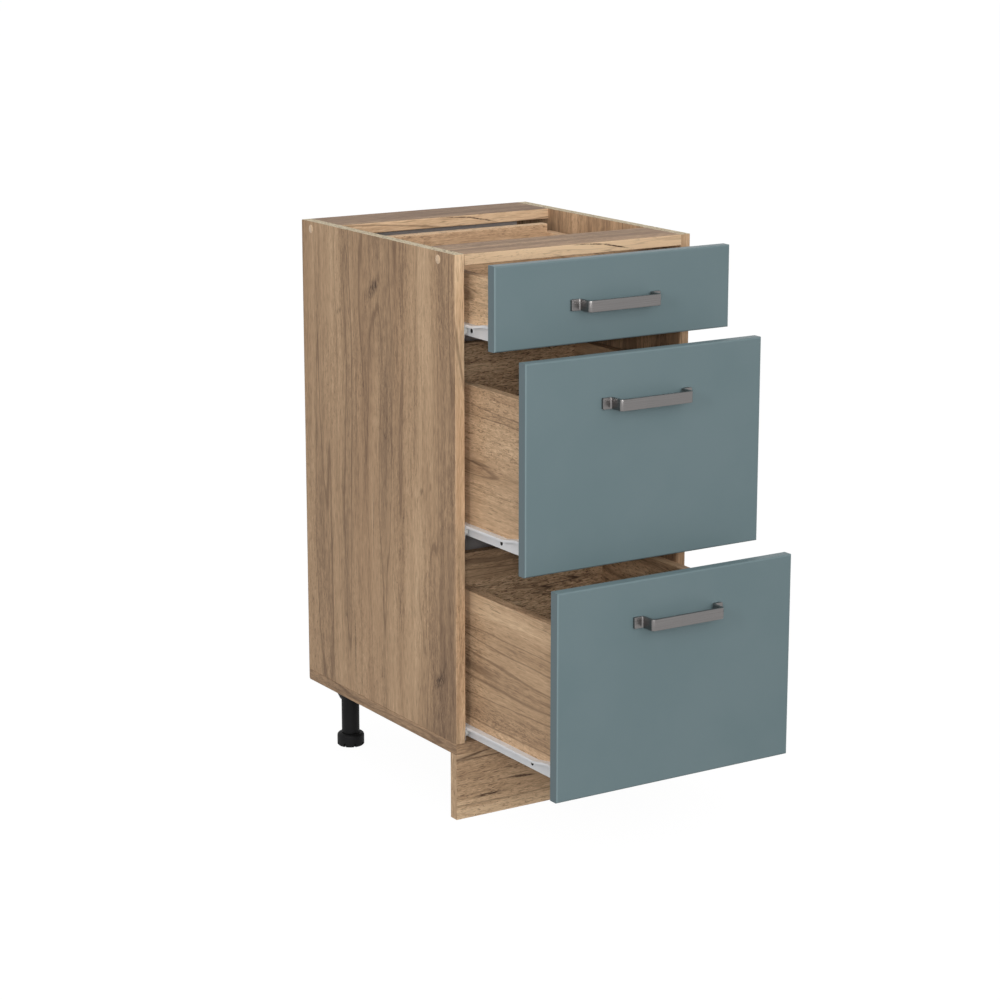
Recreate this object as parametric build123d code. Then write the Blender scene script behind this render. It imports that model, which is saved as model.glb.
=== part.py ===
from build123d import *
import os
from math import cos, pi, sin, sqrt

os.makedirs("parts", exist_ok=True)

# A kitchen base cabinet with three drawers on roller runners. Millimetres, +Z up.
# X = 0 is the middle of the width, Y = 0 the front plane of the carcass (the room is
# at -Y), Z = 0 the floor. The drawers stand pulled out by the amounts in `pulled`.

# ---- Carcass -----------------------------------------------------------------------
width = 400.0
carcass_depth = 440.0
carcass_height = 820.0
board = 16.0
back_sheet = 3.0
back_inset = 1.0
leg_height = 98.0
front_rail_depth = 90.0
back_rail_depth = 90.0
edge_break = 0.6
band_rounding = 1.5

# ---- Fronts, listed from the top drawer down ---------------------------------------
drawers = ("top", "middle", "bottom")
pulled = (82.5, 160.0, 240.0)
top_front_height = 118.0
front_thickness = 16.0
front_rounding = 2.5
side_reveal = 2.5
top_reveal = 4.0
bottom_reveal = 4.0
front_gap = 3.0

# ---- Drawer boxes ------------------------------------------------------------------
box_lifts = (5.5, 16.5, 16.5)
box_drops = (26.0, 61.0, 61.0)
box_overhang = 7.0
box_side = 16.0
box_back = 16.0
box_sheet = 3.0
groove_up = 10.0
groove_deep = 5.0
groove_play = 0.2
sheet_play = 0.5

# ---- Roller runners ----------------------------------------------------------------
side_gap = 13.0
runner_length = 400.0
runner_setback = 2.0
steel = 1.0
web_height = 18.0
flange_reach = 11.0
lip_drop = 3.5
foot_reach = 14.0
nose_rise = 5.5
nose_flat = 37.0
nose_ramp = 68.0
channel_head = 20.5
channel_drop = 1.4
channel_reach = 10.8
channel_top_reach = 9.0
channel_top_start = 80.0
dip_depth = 1.2
dip_start = 350.0
dip_ramp = 12.0
travel = 290.0
stop_gap = 0.3
stop_height = 3.0
stop_length = 2.0
front_roller_radius = 8.5
rear_roller_radius = 9.5
roller_width = 6.5
roller_edge = 1.0
roller_web_gap = 1.6
roller_track_gap = 0.2
front_roller_place = 15.0
track_clear = 2.5
rear_roller_inset = 12.0
rivet_radius = 2.5
rivet_head_radius = 4.0
rivet_head = 0.8
rivet_fit = 0.05
collar_radius = 4.0
flange_end_gap = 4.0
web_hole_radius = 3.3
web_hole_place = 83.0
web_hole_up = 8.3
dimple_radius = 6.0
dimple_out = 0.4
pilot_radius = 3.5
pilot_depth = 10.0
fixing_places = (37.0, 261.0)
fixing_up = 9.0
fixing_radius = 3.0
fixing_length = 12.0
fixing_head_radius = 4.5
fixing_head = 1.2

# ---- Handles -----------------------------------------------------------------------
handle_drops = (63.0, 66.5, 58.5)
handle_spacing = 128.0
handle_length = 149.0
handle_bar = 122.0
handle_reach = 28.0
handle_strap = 4.5
handle_height = 16.0
handle_bend = 1.0
handle_edge = 0.5
handle_screw_radius = 2.0
handle_screw_bite = 3.8
handle_screw_head_radius = 4.0
handle_screw_head = 2.4
handle_screw_play = 0.25
thread_fit = 0.02

# ---- Legs --------------------------------------------------------------------------
leg_side_inset = 40.0
leg_back_inset = 57.0
plate_size = 62.0
plate_thickness = 4.0
plate_corner = 8.0
hub_wall = 2.2
hub_flare = 9.0
hub_height = 18.0
rib_count = 4
rib_thickness = 2.5
rib_reach = 34.0
rib_stop = 3.0
leg_radius = 13.8
leg_bore = 9.0
leg_fit = 0.05
socket_fit = 0.05
foot_radius = 21.0
foot_height = 20.0
foot_shoulder = 6.0
foot_toe = 1.5
foot_gap = 0.5
foot_stem = 40.0
notch_count = 8
notch_width = 3.0
notch_depth = 3.5
notch_height = 6.0

# ---- Joinery -----------------------------------------------------------------------
screw_length = 50.0
screw_radius = 2.5
screw_head_radius = 5.0
screw_head = 3.0
screw_fit = 0.03
key_flats = 4.0
key_depth = 3.0
rail_screw_front = 44.5
rail_screw_back = 27.0
rail_screw_drop = 11.5
floor_screw_inset = 60.0
cap_radius = 6.5
cap_thickness = 1.0
cap_plug_radius = 1.8
cap_plug = 2.4
back_screw_heights = (30.0, 20.0)
cam_radius = 7.5
cam_thickness = 12.0
cam_inset = 34.0
cam_bolt_radius = 3.0
cam_bolt_grip = 10.0
cam_slot = 2.0
cam_heights = (24.0, 26.0)
bracket_size = 30.0
bracket_width = 40.0
bracket_steel = 2.0
bracket_place = 120.0

# ---- Values worked out from the sizes above ----------------------------------------
half = width / 2
inner = half - board
floor_top = leg_height + board
rail_low = carcass_height - board
box_outer = inner - side_gap
box_inner = box_outer - box_side
front_half = half - side_reveal
side_edge_z = carcass_height - rail_screw_drop
front_field = carcass_height - top_reveal - leg_height - bottom_reveal
deep_front_height = (front_field - top_front_height - 2 * front_gap) / 2
front_heights = (top_front_height, deep_front_height, deep_front_height)
front_tops = [
    carcass_height - top_reveal - sum(front_heights[:n]) - front_gap * n for n in range(len(drawers))
]
front_lows = [top - height for top, height in zip(front_tops, front_heights)]
runner_lows = [low + lift for low, lift in zip(front_lows, box_lifts)]
box_length = runner_length + box_overhang
box_lows = [low + steel for low in runner_lows]
box_heights = [top - drop - low for top, drop, low in zip(front_tops, box_drops, box_lows)]
roller_in = steel + roller_web_gap
roller_out = roller_in + roller_width
front_axis_up = web_height - steel - roller_track_gap - front_roller_radius
track_up = -channel_drop + steel
track_start = front_roller_place + front_roller_radius + track_clear
rear_axis_up = track_up + roller_track_gap + rear_roller_radius
roller_dip = rear_axis_up - track_up - stop_height
stop_face = (
    runner_length - rear_roller_inset - runner_setback - travel
    - sqrt(rear_roller_radius**2 - roller_dip**2) - stop_gap
)


# ---- Small helpers -----------------------------------------------------------------
def plank(x0, x1, y0, y1, z0, z1):
    """A flat board between two corners."""
    return Pos((x0 + x1) / 2, (y0 + y1) / 2, (z0 + z1) / 2) * Box(x1 - x0, y1 - y0, z1 - z0)


def rod(start, direction, radius, length):
    """A round bar, or the hole for one, from a point along a direction."""
    return extrude(Plane(origin=start, z_dir=direction) * Circle(radius), length)


def turned(start, direction, points):
    """A turned piece: (radius, distance along the axis) points spun about the axis."""
    profile = make_face(Polyline(*[(r, 0, d) for r, d in points], close=True))
    solid = revolve(profile, axis=Axis.Z)
    return Plane(origin=start, z_dir=direction).location * solid


def side_plate(points, x0, x1):
    """A plate that lies in the YZ plane: (y, z) points pushed out from x0 to x1."""
    outline = make_face(Polyline(*[(x0, y, z) for y, z in points], close=True))
    return extrude(outline, amount=x1 - x0, dir=(1, 0, 0))


def other_side(solid):
    """The left-hand twin of a right-hand piece."""
    return mirror(solid, about=Plane.YZ)


def both_sides(solid):
    return [solid, other_side(solid)]


def on_box(n, solid):
    """Puts a runner piece drawn from the drawer's side and sheet on drawer n."""
    return Pos(box_outer, -pulled[n], runner_lows[n]) * solid


def in_carcass(n, solid):
    """Puts a runner piece drawn from the same zero on the carcass beside drawer n."""
    return Pos(box_outer, runner_setback, runner_lows[n]) * solid


def save(name, shape):
    solids = shape if isinstance(shape, list) else [shape]
    group = solids[0] if len(solids) == 1 else Compound(children=[Compound(s.wrapped) for s in solids])
    export_step(group, f"parts/{name}.step")


# ---- Wood screws with a hexagon socket, shared by carcass and drawer boxes ---------
def screw(head, direction):
    """A one-piece connector: flat cone head, straight core, hexagon socket."""
    body = turned(
        head,
        direction,
        [
            (0, 0),
            (screw_head_radius, 0),
            (screw_radius, screw_head),
            (screw_radius, screw_length),
            (0, screw_length),
        ],
    )
    socket = Plane(origin=head, z_dir=direction) * RegularPolygon(key_flats / 2, 6, major_radius=False)
    return body - extrude(socket, key_depth)


def screw_hole(head, direction):
    """The countersunk bore that the connector fills."""
    return turned(
        head,
        direction,
        [
            (0, 0),
            (screw_head_radius + screw_fit, 0),
            (screw_radius + screw_fit, screw_head),
            (screw_radius + screw_fit, screw_length + screw_fit),
            (0, screw_length + screw_fit),
        ],
    )


rail_screw_places = [
    (side * half, y, side_edge_z, (-side, 0, 0))
    for side in (-1, 1)
    for y in (rail_screw_front, carcass_depth - rail_screw_back)
]
floor_screw_places = [
    (side * (half - board / 2), y, leg_height, (0, 0, 1))
    for side in (-1, 1)
    for y in (floor_screw_inset, carcass_depth - floor_screw_inset)
]
carcass_screw_places = [((x, y, z), d) for x, y, z, d in rail_screw_places + floor_screw_places]


def bored(solid, places):
    for head, direction in places:
        solid = solid - screw_hole(head, direction)
    return solid


# ---- Carcass -----------------------------------------------------------------------
def carcass_side():
    """The right side panel: it stands on the bottom board."""
    panel = plank(inner, half, 0, carcass_depth, floor_top, carcass_height)
    panel = chamfer(panel.edges().filter_by(Axis.Y).group_by(Axis.Z)[0].sort_by(Axis.X)[-1], edge_break)
    panel = fillet(panel.edges().filter_by(Axis.Z).group_by(Axis.Y)[0], band_rounding)
    for n in range(len(drawers)):
        for place in fixing_places:
            centre = (inner, runner_setback + place, runner_lows[n] + fixing_up)
            panel = panel - rod(centre, (1, 0, 0), fixing_radius + screw_fit, fixing_length - steel)
    return panel


def carcass():
    right = carcass_side()
    save("side_right", bored(right, carcass_screw_places))
    save("side_left", bored(other_side(right), carcass_screw_places))
    floor = plank(-half, half, 0, carcass_depth, leg_height, floor_top)
    floor = chamfer(floor.edges().filter_by(Axis.X).group_by(Axis.Y)[0], edge_break)
    save("bottom_board", bored(floor, carcass_screw_places))
    front_rail = plank(-inner, inner, 0, front_rail_depth, rail_low, carcass_height)
    front_rail = fillet(front_rail.edges().filter_by(Axis.X).group_by(Axis.Y)[0], band_rounding)
    save("top_rail_front", bored(front_rail, carcass_screw_places))
    back_rail = plank(-inner, inner, carcass_depth - back_rail_depth, carcass_depth, rail_low, carcass_height)
    back_rail = fillet(back_rail.edges().filter_by(Axis.X).group_by(Axis.Y)[0], band_rounding)
    save("top_rail_back", bored(back_rail, carcass_screw_places))
    sheet = plank(
        back_inset - half,
        half - back_inset,
        carcass_depth,
        carcass_depth + back_sheet,
        leg_height + back_inset,
        carcass_height - back_inset,
    )
    save("back_panel", sheet)
    save("plinth", plank(-half, half, 0, board, 0, leg_height))
    save("carcass_screws", [screw(head, direction) for head, direction in carcass_screw_places])


def cover_caps():
    """Domed plastic caps over the screw heads in the side panels."""
    dome = [
        (0, cap_plug),
        (cap_plug_radius, cap_plug),
        (cap_plug_radius, 0),
        (cap_radius, 0),
        (cap_radius - cap_thickness, -cap_thickness),
        (0, -cap_thickness),
    ]
    save("cover_caps", [turned((x, y, z), d, dome) for x, y, z, d in rail_screw_places])


def plinth_brackets():
    """Two steel angles that tie the plinth to the bottom board."""
    angle = plank(0, bracket_width, board, board + bracket_size, leg_height - bracket_size, leg_height)
    space = plank(
        0,
        bracket_width,
        board + bracket_steel,
        board + bracket_size,
        leg_height - bracket_size,
        leg_height - bracket_steel,
    )
    angle = angle - space
    corner = angle.edges().filter_by(Axis.X).sort_by(Axis.Z)[-3:]
    corner = corner.filter_by(lambda e: abs(e.center().Y - board - bracket_steel) < 0.1)
    angle = fillet(corner, bracket_steel)
    save("plinth_brackets", both_sides(Pos(bracket_place - bracket_width / 2, 0, 0) * angle))


# ---- Roller runners ----------------------------------------------------------------
# Both members are drawn for the right-hand side, with X = 0 on the drawer side's outer
# face, growing towards the carcass side, and Z = 0 under the drawer member.
def nose_line(drop, start, end):
    """The top line of the drawer member, lowered by drop: it climbs towards the front."""
    level = web_height - drop
    return [(end, level), (nose_ramp, level), (nose_flat, level + nose_rise), (start, level + nose_rise)]


def drawer_member():
    """Pressed steel: a foot under the drawer side, a web, a running flange with a lip."""
    slack = 1.0
    stock = side_plate([(0, 0), (runner_length, 0)] + nose_line(0, 0, runner_length), -foot_reach, flange_reach)
    over = web_height + nose_rise + slack
    side_space = plank(-foot_reach - slack, 0, -slack, runner_length + slack, steel, over)
    below = [(-slack, -slack), (runner_length + slack, -slack)]
    trough = side_plate(
        below + nose_line(steel, -slack, runner_length + slack), steel, flange_reach - steel
    )
    under_lip = side_plate(
        below + nose_line(lip_drop, -slack, runner_length + slack), flange_reach - steel, flange_reach + slack
    )
    flange_end = runner_length - rear_roller_inset - rear_roller_radius - flange_end_gap
    tail = plank(steel, flange_reach + slack, flange_end, runner_length + slack, -slack, over)
    member = stock - side_space - trough - under_lip - tail
    bends = member.edges().filter_by(Axis.Y).filter_by(
        lambda e: e.length > nose_ramp and abs(e.center().Z - web_height) < 0.01
    )
    member = fillet(bends, steel * 0.8)
    dimple = turned(
        (steel, web_hole_place, web_hole_up),
        (1, 0, 0),
        [(0, 0), (dimple_radius, 0), (web_hole_radius + dimple_out, dimple_out), (0, dimple_out)],
    )
    member = member + dimple
    member = member - rod((-steel, web_hole_place, web_hole_up), (1, 0, 0), web_hole_radius, 4 * steel)
    axle = (steel, runner_length - rear_roller_inset, rear_axis_up)
    return member + rivet(axle, (1, 0, 0), roller_web_gap, roller_width)


def rivet(start, direction, stand, grip):
    """The stub axle of a roller: a collar, the pin and a peened head."""
    head = stand + grip + rivet_fit
    return turned(
        start,
        direction,
        [
            (0, 0),
            (collar_radius, 0),
            (collar_radius, stand - rivet_fit),
            (rivet_radius, stand - rivet_fit),
            (rivet_radius, head),
            (rivet_head_radius, head),
            (rivet_head_radius - rivet_head / 2, head + rivet_head),
            (0, head + rivet_head),
        ],
    )


def cabinet_member():
    """Pressed channel: web on the side panel, a track behind the front roller, upper flange."""
    slack = 1.0
    low = -channel_drop
    wall = side_gap - steel
    dip_end = dip_start + dip_ramp
    lower_line = [(0, low), (dip_start, low), (dip_end, low - dip_depth), (runner_length, low - dip_depth)]
    stock = side_plate(
        lower_line + [(runner_length, channel_head), (0, channel_head)], side_gap - channel_reach, side_gap
    )
    raised = [(y, z + steel) for y, z in lower_line]
    raised[0] = (-slack, low + steel)
    raised[-1] = (runner_length + slack, low - dip_depth + steel)
    top = channel_head - steel
    inside = side_plate(
        raised + [(runner_length + slack, top), (-slack, top)], side_gap - channel_reach - slack, wall
    )
    open_head = plank(0, wall, -slack, channel_top_start, top - slack, channel_head + slack)
    narrow = plank(
        0, side_gap - channel_top_reach, -slack, runner_length + slack, top - slack, channel_head + slack
    )
    under_roller = plank(0, wall, -slack, track_start, low - slack, track_up + slack)
    member = stock - inside - open_head - narrow - under_roller
    stop = plank(
        side_gap - channel_reach, wall, stop_face - stop_length, stop_face, track_up, track_up + stop_height
    )
    member = member + stop
    for place in fixing_places:
        centre = (wall - steel, place, fixing_up)
        member = member - rod(centre, (1, 0, 0), fixing_radius + screw_fit, 3 * steel)
    axle = (wall, front_roller_place, front_axis_up)
    return member + rivet(axle, (-1, 0, 0), wall - roller_out, roller_width)


def roller(radius, place, up):
    """A nylon roller with a crowned tread, turning on the rivet."""
    bore = rivet_radius + rivet_fit
    return turned(
        (roller_in, place, up),
        (1, 0, 0),
        [
            (bore, 0),
            (radius - roller_edge, 0),
            (radius, roller_edge),
            (radius, roller_width - roller_edge),
            (radius - roller_edge, roller_width),
            (bore, roller_width),
        ],
    )


def fixing_screw(n, place):
    """A short flat-head screw that holds a cabinet member to the side panel."""
    start = (box_outer + side_gap - steel, runner_setback + place, runner_lows[n] + fixing_up)
    profile = [
        (0, -fixing_head),
        (fixing_head_radius, -fixing_head),
        (fixing_head_radius, 0),
        (fixing_radius, 0),
        (fixing_radius, fixing_length),
        (0, fixing_length),
    ]
    return turned(start, (1, 0, 0), profile)


def runners():
    for n, drawer in enumerate(drawers):
        moving = on_box(n, drawer_member())
        save(f"{drawer}_drawer_runner_right", moving)
        save(f"{drawer}_drawer_runner_left", other_side(moving))
        fixed = in_carcass(n, cabinet_member())
        save(f"{drawer}_cabinet_runner_right", fixed)
        save(f"{drawer}_cabinet_runner_left", other_side(fixed))
        front = in_carcass(n, roller(front_roller_radius, front_roller_place, front_axis_up))
        save(f"{drawer}_front_rollers", both_sides(front))
        rear = on_box(n, roller(rear_roller_radius, runner_length - rear_roller_inset, rear_axis_up))
        save(f"{drawer}_rear_rollers", both_sides(rear))
    screws = [fixing_screw(n, place) for n in range(len(drawers)) for place in fixing_places]
    save("cabinet_runner_screws", [twin for s in screws for twin in both_sides(s)])


# ---- Drawers -----------------------------------------------------------------------
def cam_spots(n):
    """Heights of the cam fittings in a drawer side: one in a low box, two in a deep one."""
    low = box_lows[n]
    if box_heights[n] < 3 * cam_heights[0] + cam_heights[1]:
        return [low + box_heights[n] / 2 + groove_up]
    return [low + cam_heights[0] + groove_up, low + box_heights[n] - cam_heights[1]]


def back_screw_spots(n):
    """Heights of the screws through a drawer side into the back wall."""
    low = box_lows[n]
    return [low + back_screw_heights[0], low + box_heights[n] - back_screw_heights[1]]


def box_screw_places(n):
    y = box_length - box_back / 2 - pulled[n]
    return [((side * box_outer, y, z), (-side, 0, 0)) for side in (-1, 1) for z in back_screw_spots(n)]


def bottom_groove(n, play):
    """The slot that holds the drawer's bottom sheet, in the sides and in the front."""
    low = box_lows[n] + groove_up
    reach = box_inner + groove_deep
    return plank(
        -reach,
        reach,
        -pulled[n] - groove_deep,
        box_length - pulled[n] + play,
        low,
        low + box_sheet + groove_play,
    )


def cam_pocket(n, z, fit):
    """Cam barrel in the inner face of the right side."""
    centre = (box_inner, cam_inset - pulled[n], z)
    return rod(centre, (1, 0, 0), cam_radius + fit, cam_thickness + fit)


def cam_bolt(n, z, fit):
    """Connecting bolt from the front panel's back face to the cam."""
    start = (box_inner + box_side / 2, -pulled[n] - cam_bolt_grip - fit, z)
    return rod(start, (0, 1, 0), cam_bolt_radius + fit, cam_bolt_grip + cam_inset + 2 * fit)


def box_wall(n):
    """The right drawer side: groove, cam seats, bolt holes, a pilot bore behind the web hole."""
    low = box_lows[n]
    wall = plank(
        box_inner, box_outer, -pulled[n], box_length - pulled[n], low, low + box_heights[n]
    )
    wall = chamfer(wall.edges().filter_by(Axis.Y).group_by(Axis.Z)[-1], edge_break)
    wall = wall - bottom_groove(n, 1.0)
    pilot = (box_outer, web_hole_place - pulled[n], runner_lows[n] + web_hole_up)
    wall = wall - rod(pilot, (-1, 0, 0), pilot_radius, pilot_depth)
    for z in cam_spots(n):
        wall = wall - cam_pocket(n, z, screw_fit) - cam_bolt(n, z, screw_fit)
    return wall


def front_panel(n):
    """A front with four softened face edges, a groove for the sheet and its bores."""
    y0 = -pulled[n] - front_thickness
    panel = plank(-front_half, front_half, y0, -pulled[n], front_lows[n], front_tops[n])
    face = panel.faces().sort_by(Axis.Y)[0]
    panel = fillet(face.edges(), front_rounding)
    panel = panel - bottom_groove(n, 0)
    for z in cam_spots(n):
        for bore in both_sides(cam_bolt(n, z, screw_fit)):
            panel = panel - bore
    for x in (-handle_spacing / 2, handle_spacing / 2):
        start = (x, y0, front_tops[n] - handle_drops[n])
        hole = rod(start, (0, 1, 0), handle_screw_radius + handle_screw_play, front_thickness)
        panel = panel - hole
    return panel


def handle(n):
    """A bow handle bent from flat strap: two feet, two legs and the grip bar."""
    end = handle_length / 2
    leg = handle_bar / 2
    t = handle_strap
    reach = handle_reach
    right_half = [
        (leg, -reach),
        (leg, -t),
        (end, -t),
        (end, 0),
        (leg - t, 0),
        (leg - t, -reach + t),
    ]
    left_half = [(-x, y) for x, y in reversed(right_half)]
    strap = make_face(Polyline(*right_half, *left_half, close=True))

    def corners(x, y):
        return strap.vertices().filter_by(lambda v: abs(abs(v.X) - x) < 0.01 and abs(v.Y - y) < 0.01)

    bends = (
        (leg, -reach, handle_bend + t),
        (leg, -t, handle_bend),
        (end, -t, handle_bend),
        (leg - t, 0, handle_bend + t),
        (leg - t, -reach + t, handle_bend),
    )
    for x, y, radius in bends:
        strap = fillet(corners(x, y), radius)
    bow = extrude(strap, handle_height)
    bow = chamfer(bow.faces().sort_by(Axis.Z)[-1].edges() + bow.faces().sort_by(Axis.Z)[0].edges(), handle_edge)
    z = front_tops[n] - handle_drops[n] - handle_height / 2
    bow = Pos(0, -pulled[n] - front_thickness, z) * bow
    for x in (-handle_spacing / 2, handle_spacing / 2):
        start = (x, -pulled[n] - front_thickness, z + handle_height / 2)
        bow = bow - rod(start, (0, -1, 0), handle_screw_radius + thread_fit, handle_screw_bite + thread_fit)
    return bow


def handle_screw(n, x):
    """A pan-head machine screw from inside the drawer, through the front, into a foot."""
    length = front_thickness + handle_screw_bite
    return turned(
        (x, -pulled[n], front_tops[n] - handle_drops[n]),
        (0, -1, 0),
        [
            (0, -handle_screw_head),
            (handle_screw_head_radius * 0.7, -handle_screw_head),
            (handle_screw_head_radius, 0),
            (handle_screw_radius, 0),
            (handle_screw_radius, length),
            (0, length),
        ],
    )


def cam(n, z):
    """A cam barrel with its driving slot and the seat for the bolt's head."""
    barrel = cam_pocket(n, z, 0)
    slot = plank(
        box_inner,
        box_inner + cam_slot,
        cam_inset - cam_radius / 2 - pulled[n],
        cam_inset + cam_radius / 2 - pulled[n],
        z - cam_slot / 2,
        z + cam_slot / 2,
    )
    return barrel - slot - cam_bolt(n, z, screw_fit)


def drawer_box(n, drawer):
    low = box_lows[n]
    right = box_wall(n)
    places = box_screw_places(n)
    save(f"{drawer}_drawer_side_right", bored(right, places))
    save(f"{drawer}_drawer_side_left", bored(other_side(right), places))
    sheet_low = low + groove_up
    wall_low = sheet_low + box_sheet
    back = plank(
        -box_inner,
        box_inner,
        box_length - box_back - pulled[n],
        box_length - pulled[n],
        wall_low,
        wall_low + box_heights[n],
    )
    back = chamfer(back.edges().filter_by(Axis.X).group_by(Axis.Z)[-1], edge_break)
    save(f"{drawer}_drawer_back", bored(back, places))
    sheet_half = box_inner + groove_deep - sheet_play
    sheet_front = -pulled[n] - groove_deep + sheet_play
    sheet = plank(
        -sheet_half, sheet_half, sheet_front, box_length - pulled[n], sheet_low, sheet_low + box_sheet
    )
    save(f"{drawer}_drawer_bottom", sheet)
    fittings = [screw(head, direction) for head, direction in places]
    for z in cam_spots(n):
        fittings = fittings + both_sides(cam(n, z)) + both_sides(cam_bolt(n, z, 0))
    save(f"{drawer}_drawer_fittings", fittings)


def drawer_set():
    for n, drawer in enumerate(drawers):
        save(f"{drawer}_drawer_front", front_panel(n))
        drawer_box(n, drawer)
        save(f"{drawer}_handle", handle(n))
        save(
            f"{drawer}_handle_screws",
            [handle_screw(n, x) for x in (-handle_spacing / 2, handle_spacing / 2)],
        )


# ---- Legs at the back --------------------------------------------------------------
leg_x = half - leg_side_inset
leg_y = carcass_depth - leg_back_inset


def leg_plate():
    """Moulded socket: a square plate, a hub and ribs between them."""
    top = leg_height
    under = top - plate_thickness
    plate = extrude(Pos(0, 0, under) * RectangleRounded(plate_size, plate_size, plate_corner), plate_thickness)
    hub_radius = leg_radius + hub_wall
    hub = turned(
        (0, 0, under),
        (0, 0, -1),
        [(0, 0), (hub_radius + hub_flare, 0), (hub_radius, hub_height), (0, hub_height)],
    )
    rib_face = make_face(
        Polyline(
            (0, 0, under),
            (rib_reach, 0, under),
            (rib_reach, 0, under - rib_stop),
            (hub_radius, 0, under - hub_height + rib_stop),
            (0, 0, under - hub_height + rib_stop),
            close=True,
        )
    )
    rib = extrude(rib_face, amount=rib_thickness / 2, both=True)
    ribs = [Rot(0, 0, 360 / rib_count * (k + 0.5)) * rib for k in range(rib_count)]
    socket = plate + hub
    for one in ribs:
        socket = socket + one
    bore = leg_radius + socket_fit
    return socket - Pos(0, 0, under - hub_height / 2) * Cylinder(bore, hub_height)


def leg_tube():
    low = foot_height + foot_gap
    high = leg_height - plate_thickness
    tube = Pos(0, 0, (low + high) / 2) * Cylinder(leg_radius, high - low)
    return tube - rod((0, 0, low), (0, 0, 1), leg_bore, foot_stem)


def foot():
    """The screw foot: a shouldered disc with finger notches and a stem up into the tube."""
    stem = leg_bore - leg_fit
    disc = turned(
        (0, 0, 0),
        (0, 0, 1),
        [
            (0, 0),
            (foot_radius - foot_toe, 0),
            (foot_radius, foot_toe),
            (foot_radius, foot_height - foot_shoulder),
            (foot_radius - 0.3 * foot_shoulder, foot_height - 0.3 * foot_shoulder),
            (foot_radius - foot_shoulder, foot_height),
            (0, foot_height),
        ],
    )
    for k in range(notch_count):
        angle = 2 * pi * (k + 0.5) / notch_count
        place = Pos(foot_radius * cos(angle), foot_radius * sin(angle), notch_height / 2)
        notch = place * Rot(0, 0, 360 * (k + 0.5) / notch_count) * Box(
            2 * notch_depth, notch_width, notch_height
        )
        disc = disc - notch
    shaft = rod((0, 0, foot_height / 2), (0, 0, 1), stem, foot_height / 2 + foot_stem - foot_gap)
    return disc + shaft


def legs():
    spot = Pos(leg_x, leg_y, 0)
    for name, solid in (("leg_plate", leg_plate()), ("leg_tube", leg_tube()), ("foot", foot())):
        right = spot * solid
        save(f"{name}_right", right)
        save(f"{name}_left", Pos(-2 * leg_x, 0, 0) * right)


carcass()
cover_caps()
plinth_brackets()
runners()
drawer_set()
legs()
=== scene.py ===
# %% [markdown]
# # A kitchen base cabinet with three drawers
#
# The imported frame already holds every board, runner and handle at its real size. This
# lesson dresses it: oak decor on the boards, a matt film on the fronts, epoxy on the
# runners, and new pieces where the detail is fine, such as the handles, the screw feet
# and the screws. Metres throughout, with X to the right, Y to the back and Z up; the
# drawers open towards -Y.

import math

import bmesh
import bpy
from mathutils import Matrix, Vector


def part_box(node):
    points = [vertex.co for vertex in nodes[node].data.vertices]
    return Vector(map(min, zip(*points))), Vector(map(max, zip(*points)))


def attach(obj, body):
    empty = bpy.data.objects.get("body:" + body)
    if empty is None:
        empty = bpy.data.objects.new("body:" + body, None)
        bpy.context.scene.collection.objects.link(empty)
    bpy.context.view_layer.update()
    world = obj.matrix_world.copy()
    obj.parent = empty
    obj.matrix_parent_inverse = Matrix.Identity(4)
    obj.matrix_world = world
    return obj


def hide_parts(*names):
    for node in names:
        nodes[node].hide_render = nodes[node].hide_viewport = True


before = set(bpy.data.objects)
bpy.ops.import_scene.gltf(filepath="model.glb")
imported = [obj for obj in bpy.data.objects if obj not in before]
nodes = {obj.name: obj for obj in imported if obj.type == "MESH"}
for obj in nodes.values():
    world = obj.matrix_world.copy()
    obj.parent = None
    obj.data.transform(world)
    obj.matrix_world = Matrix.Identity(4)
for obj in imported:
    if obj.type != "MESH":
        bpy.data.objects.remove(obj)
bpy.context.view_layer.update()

# %% [markdown]
# ## Helpers for node trees
#
# A material is a graph, and wiring one by hand takes three lines per node. A few short
# helpers keep the recipes readable: `add` makes a node and sets its inputs, and a link is
# made wherever an input is given another node's output.

# %% Node tree helpers


def wire(tree, value, socket):
    """Links another node's output to a socket, or sets the socket's own value."""
    if isinstance(value, bpy.types.NodeSocket):
        tree.links.new(value, socket)
    else:
        socket.default_value = value


def add(tree, kind, settings=None, **inputs):
    """Makes a node and sets its inputs by name, or by number as i0, i1 and so on."""
    node = tree.nodes.new(kind)
    for key, value in (settings or {}).items():
        setattr(node, key, value)
    for key, value in inputs.items():
        numbered = key[0] == "i" and key[1:].isdigit()
        wire(tree, value, node.inputs[int(key[1:]) if numbered else key.replace("_", " ")])
    return node


def math_node(tree, operation, a, b=0.0, c=0.0, clamp=False):
    """A Math node's result."""
    settings = {"operation": operation, "use_clamp": clamp}
    return add(tree, "ShaderNodeMath", settings, i0=a, i1=b, i2=c).outputs[0]


def times(tree, a, b, clamp=False):
    """The product of two values."""
    return math_node(tree, "MULTIPLY", a, b, clamp=clamp)


def off(tree, value, level):
    """How far a value is from a level."""
    return math_node(tree, "ABSOLUTE", math_node(tree, "SUBTRACT", value, level))


def vector_node(tree, operation, a, b):
    """A Vector Math node's result."""
    return add(tree, "ShaderNodeVectorMath", {"operation": operation}, i0=a, i1=b).outputs["Vector"]


def noise(tree, vector, scale, detail=2.0, roughness=0.5, distortion=0.0):
    """A noise texture's grey value, about 0.5 in the middle."""
    node = add(tree, "ShaderNodeTexNoise", Vector=vector, Scale=scale, Detail=detail)
    node.inputs["Roughness"].default_value = roughness
    node.inputs["Distortion"].default_value = distortion
    return node.outputs["Fac"]


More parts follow.
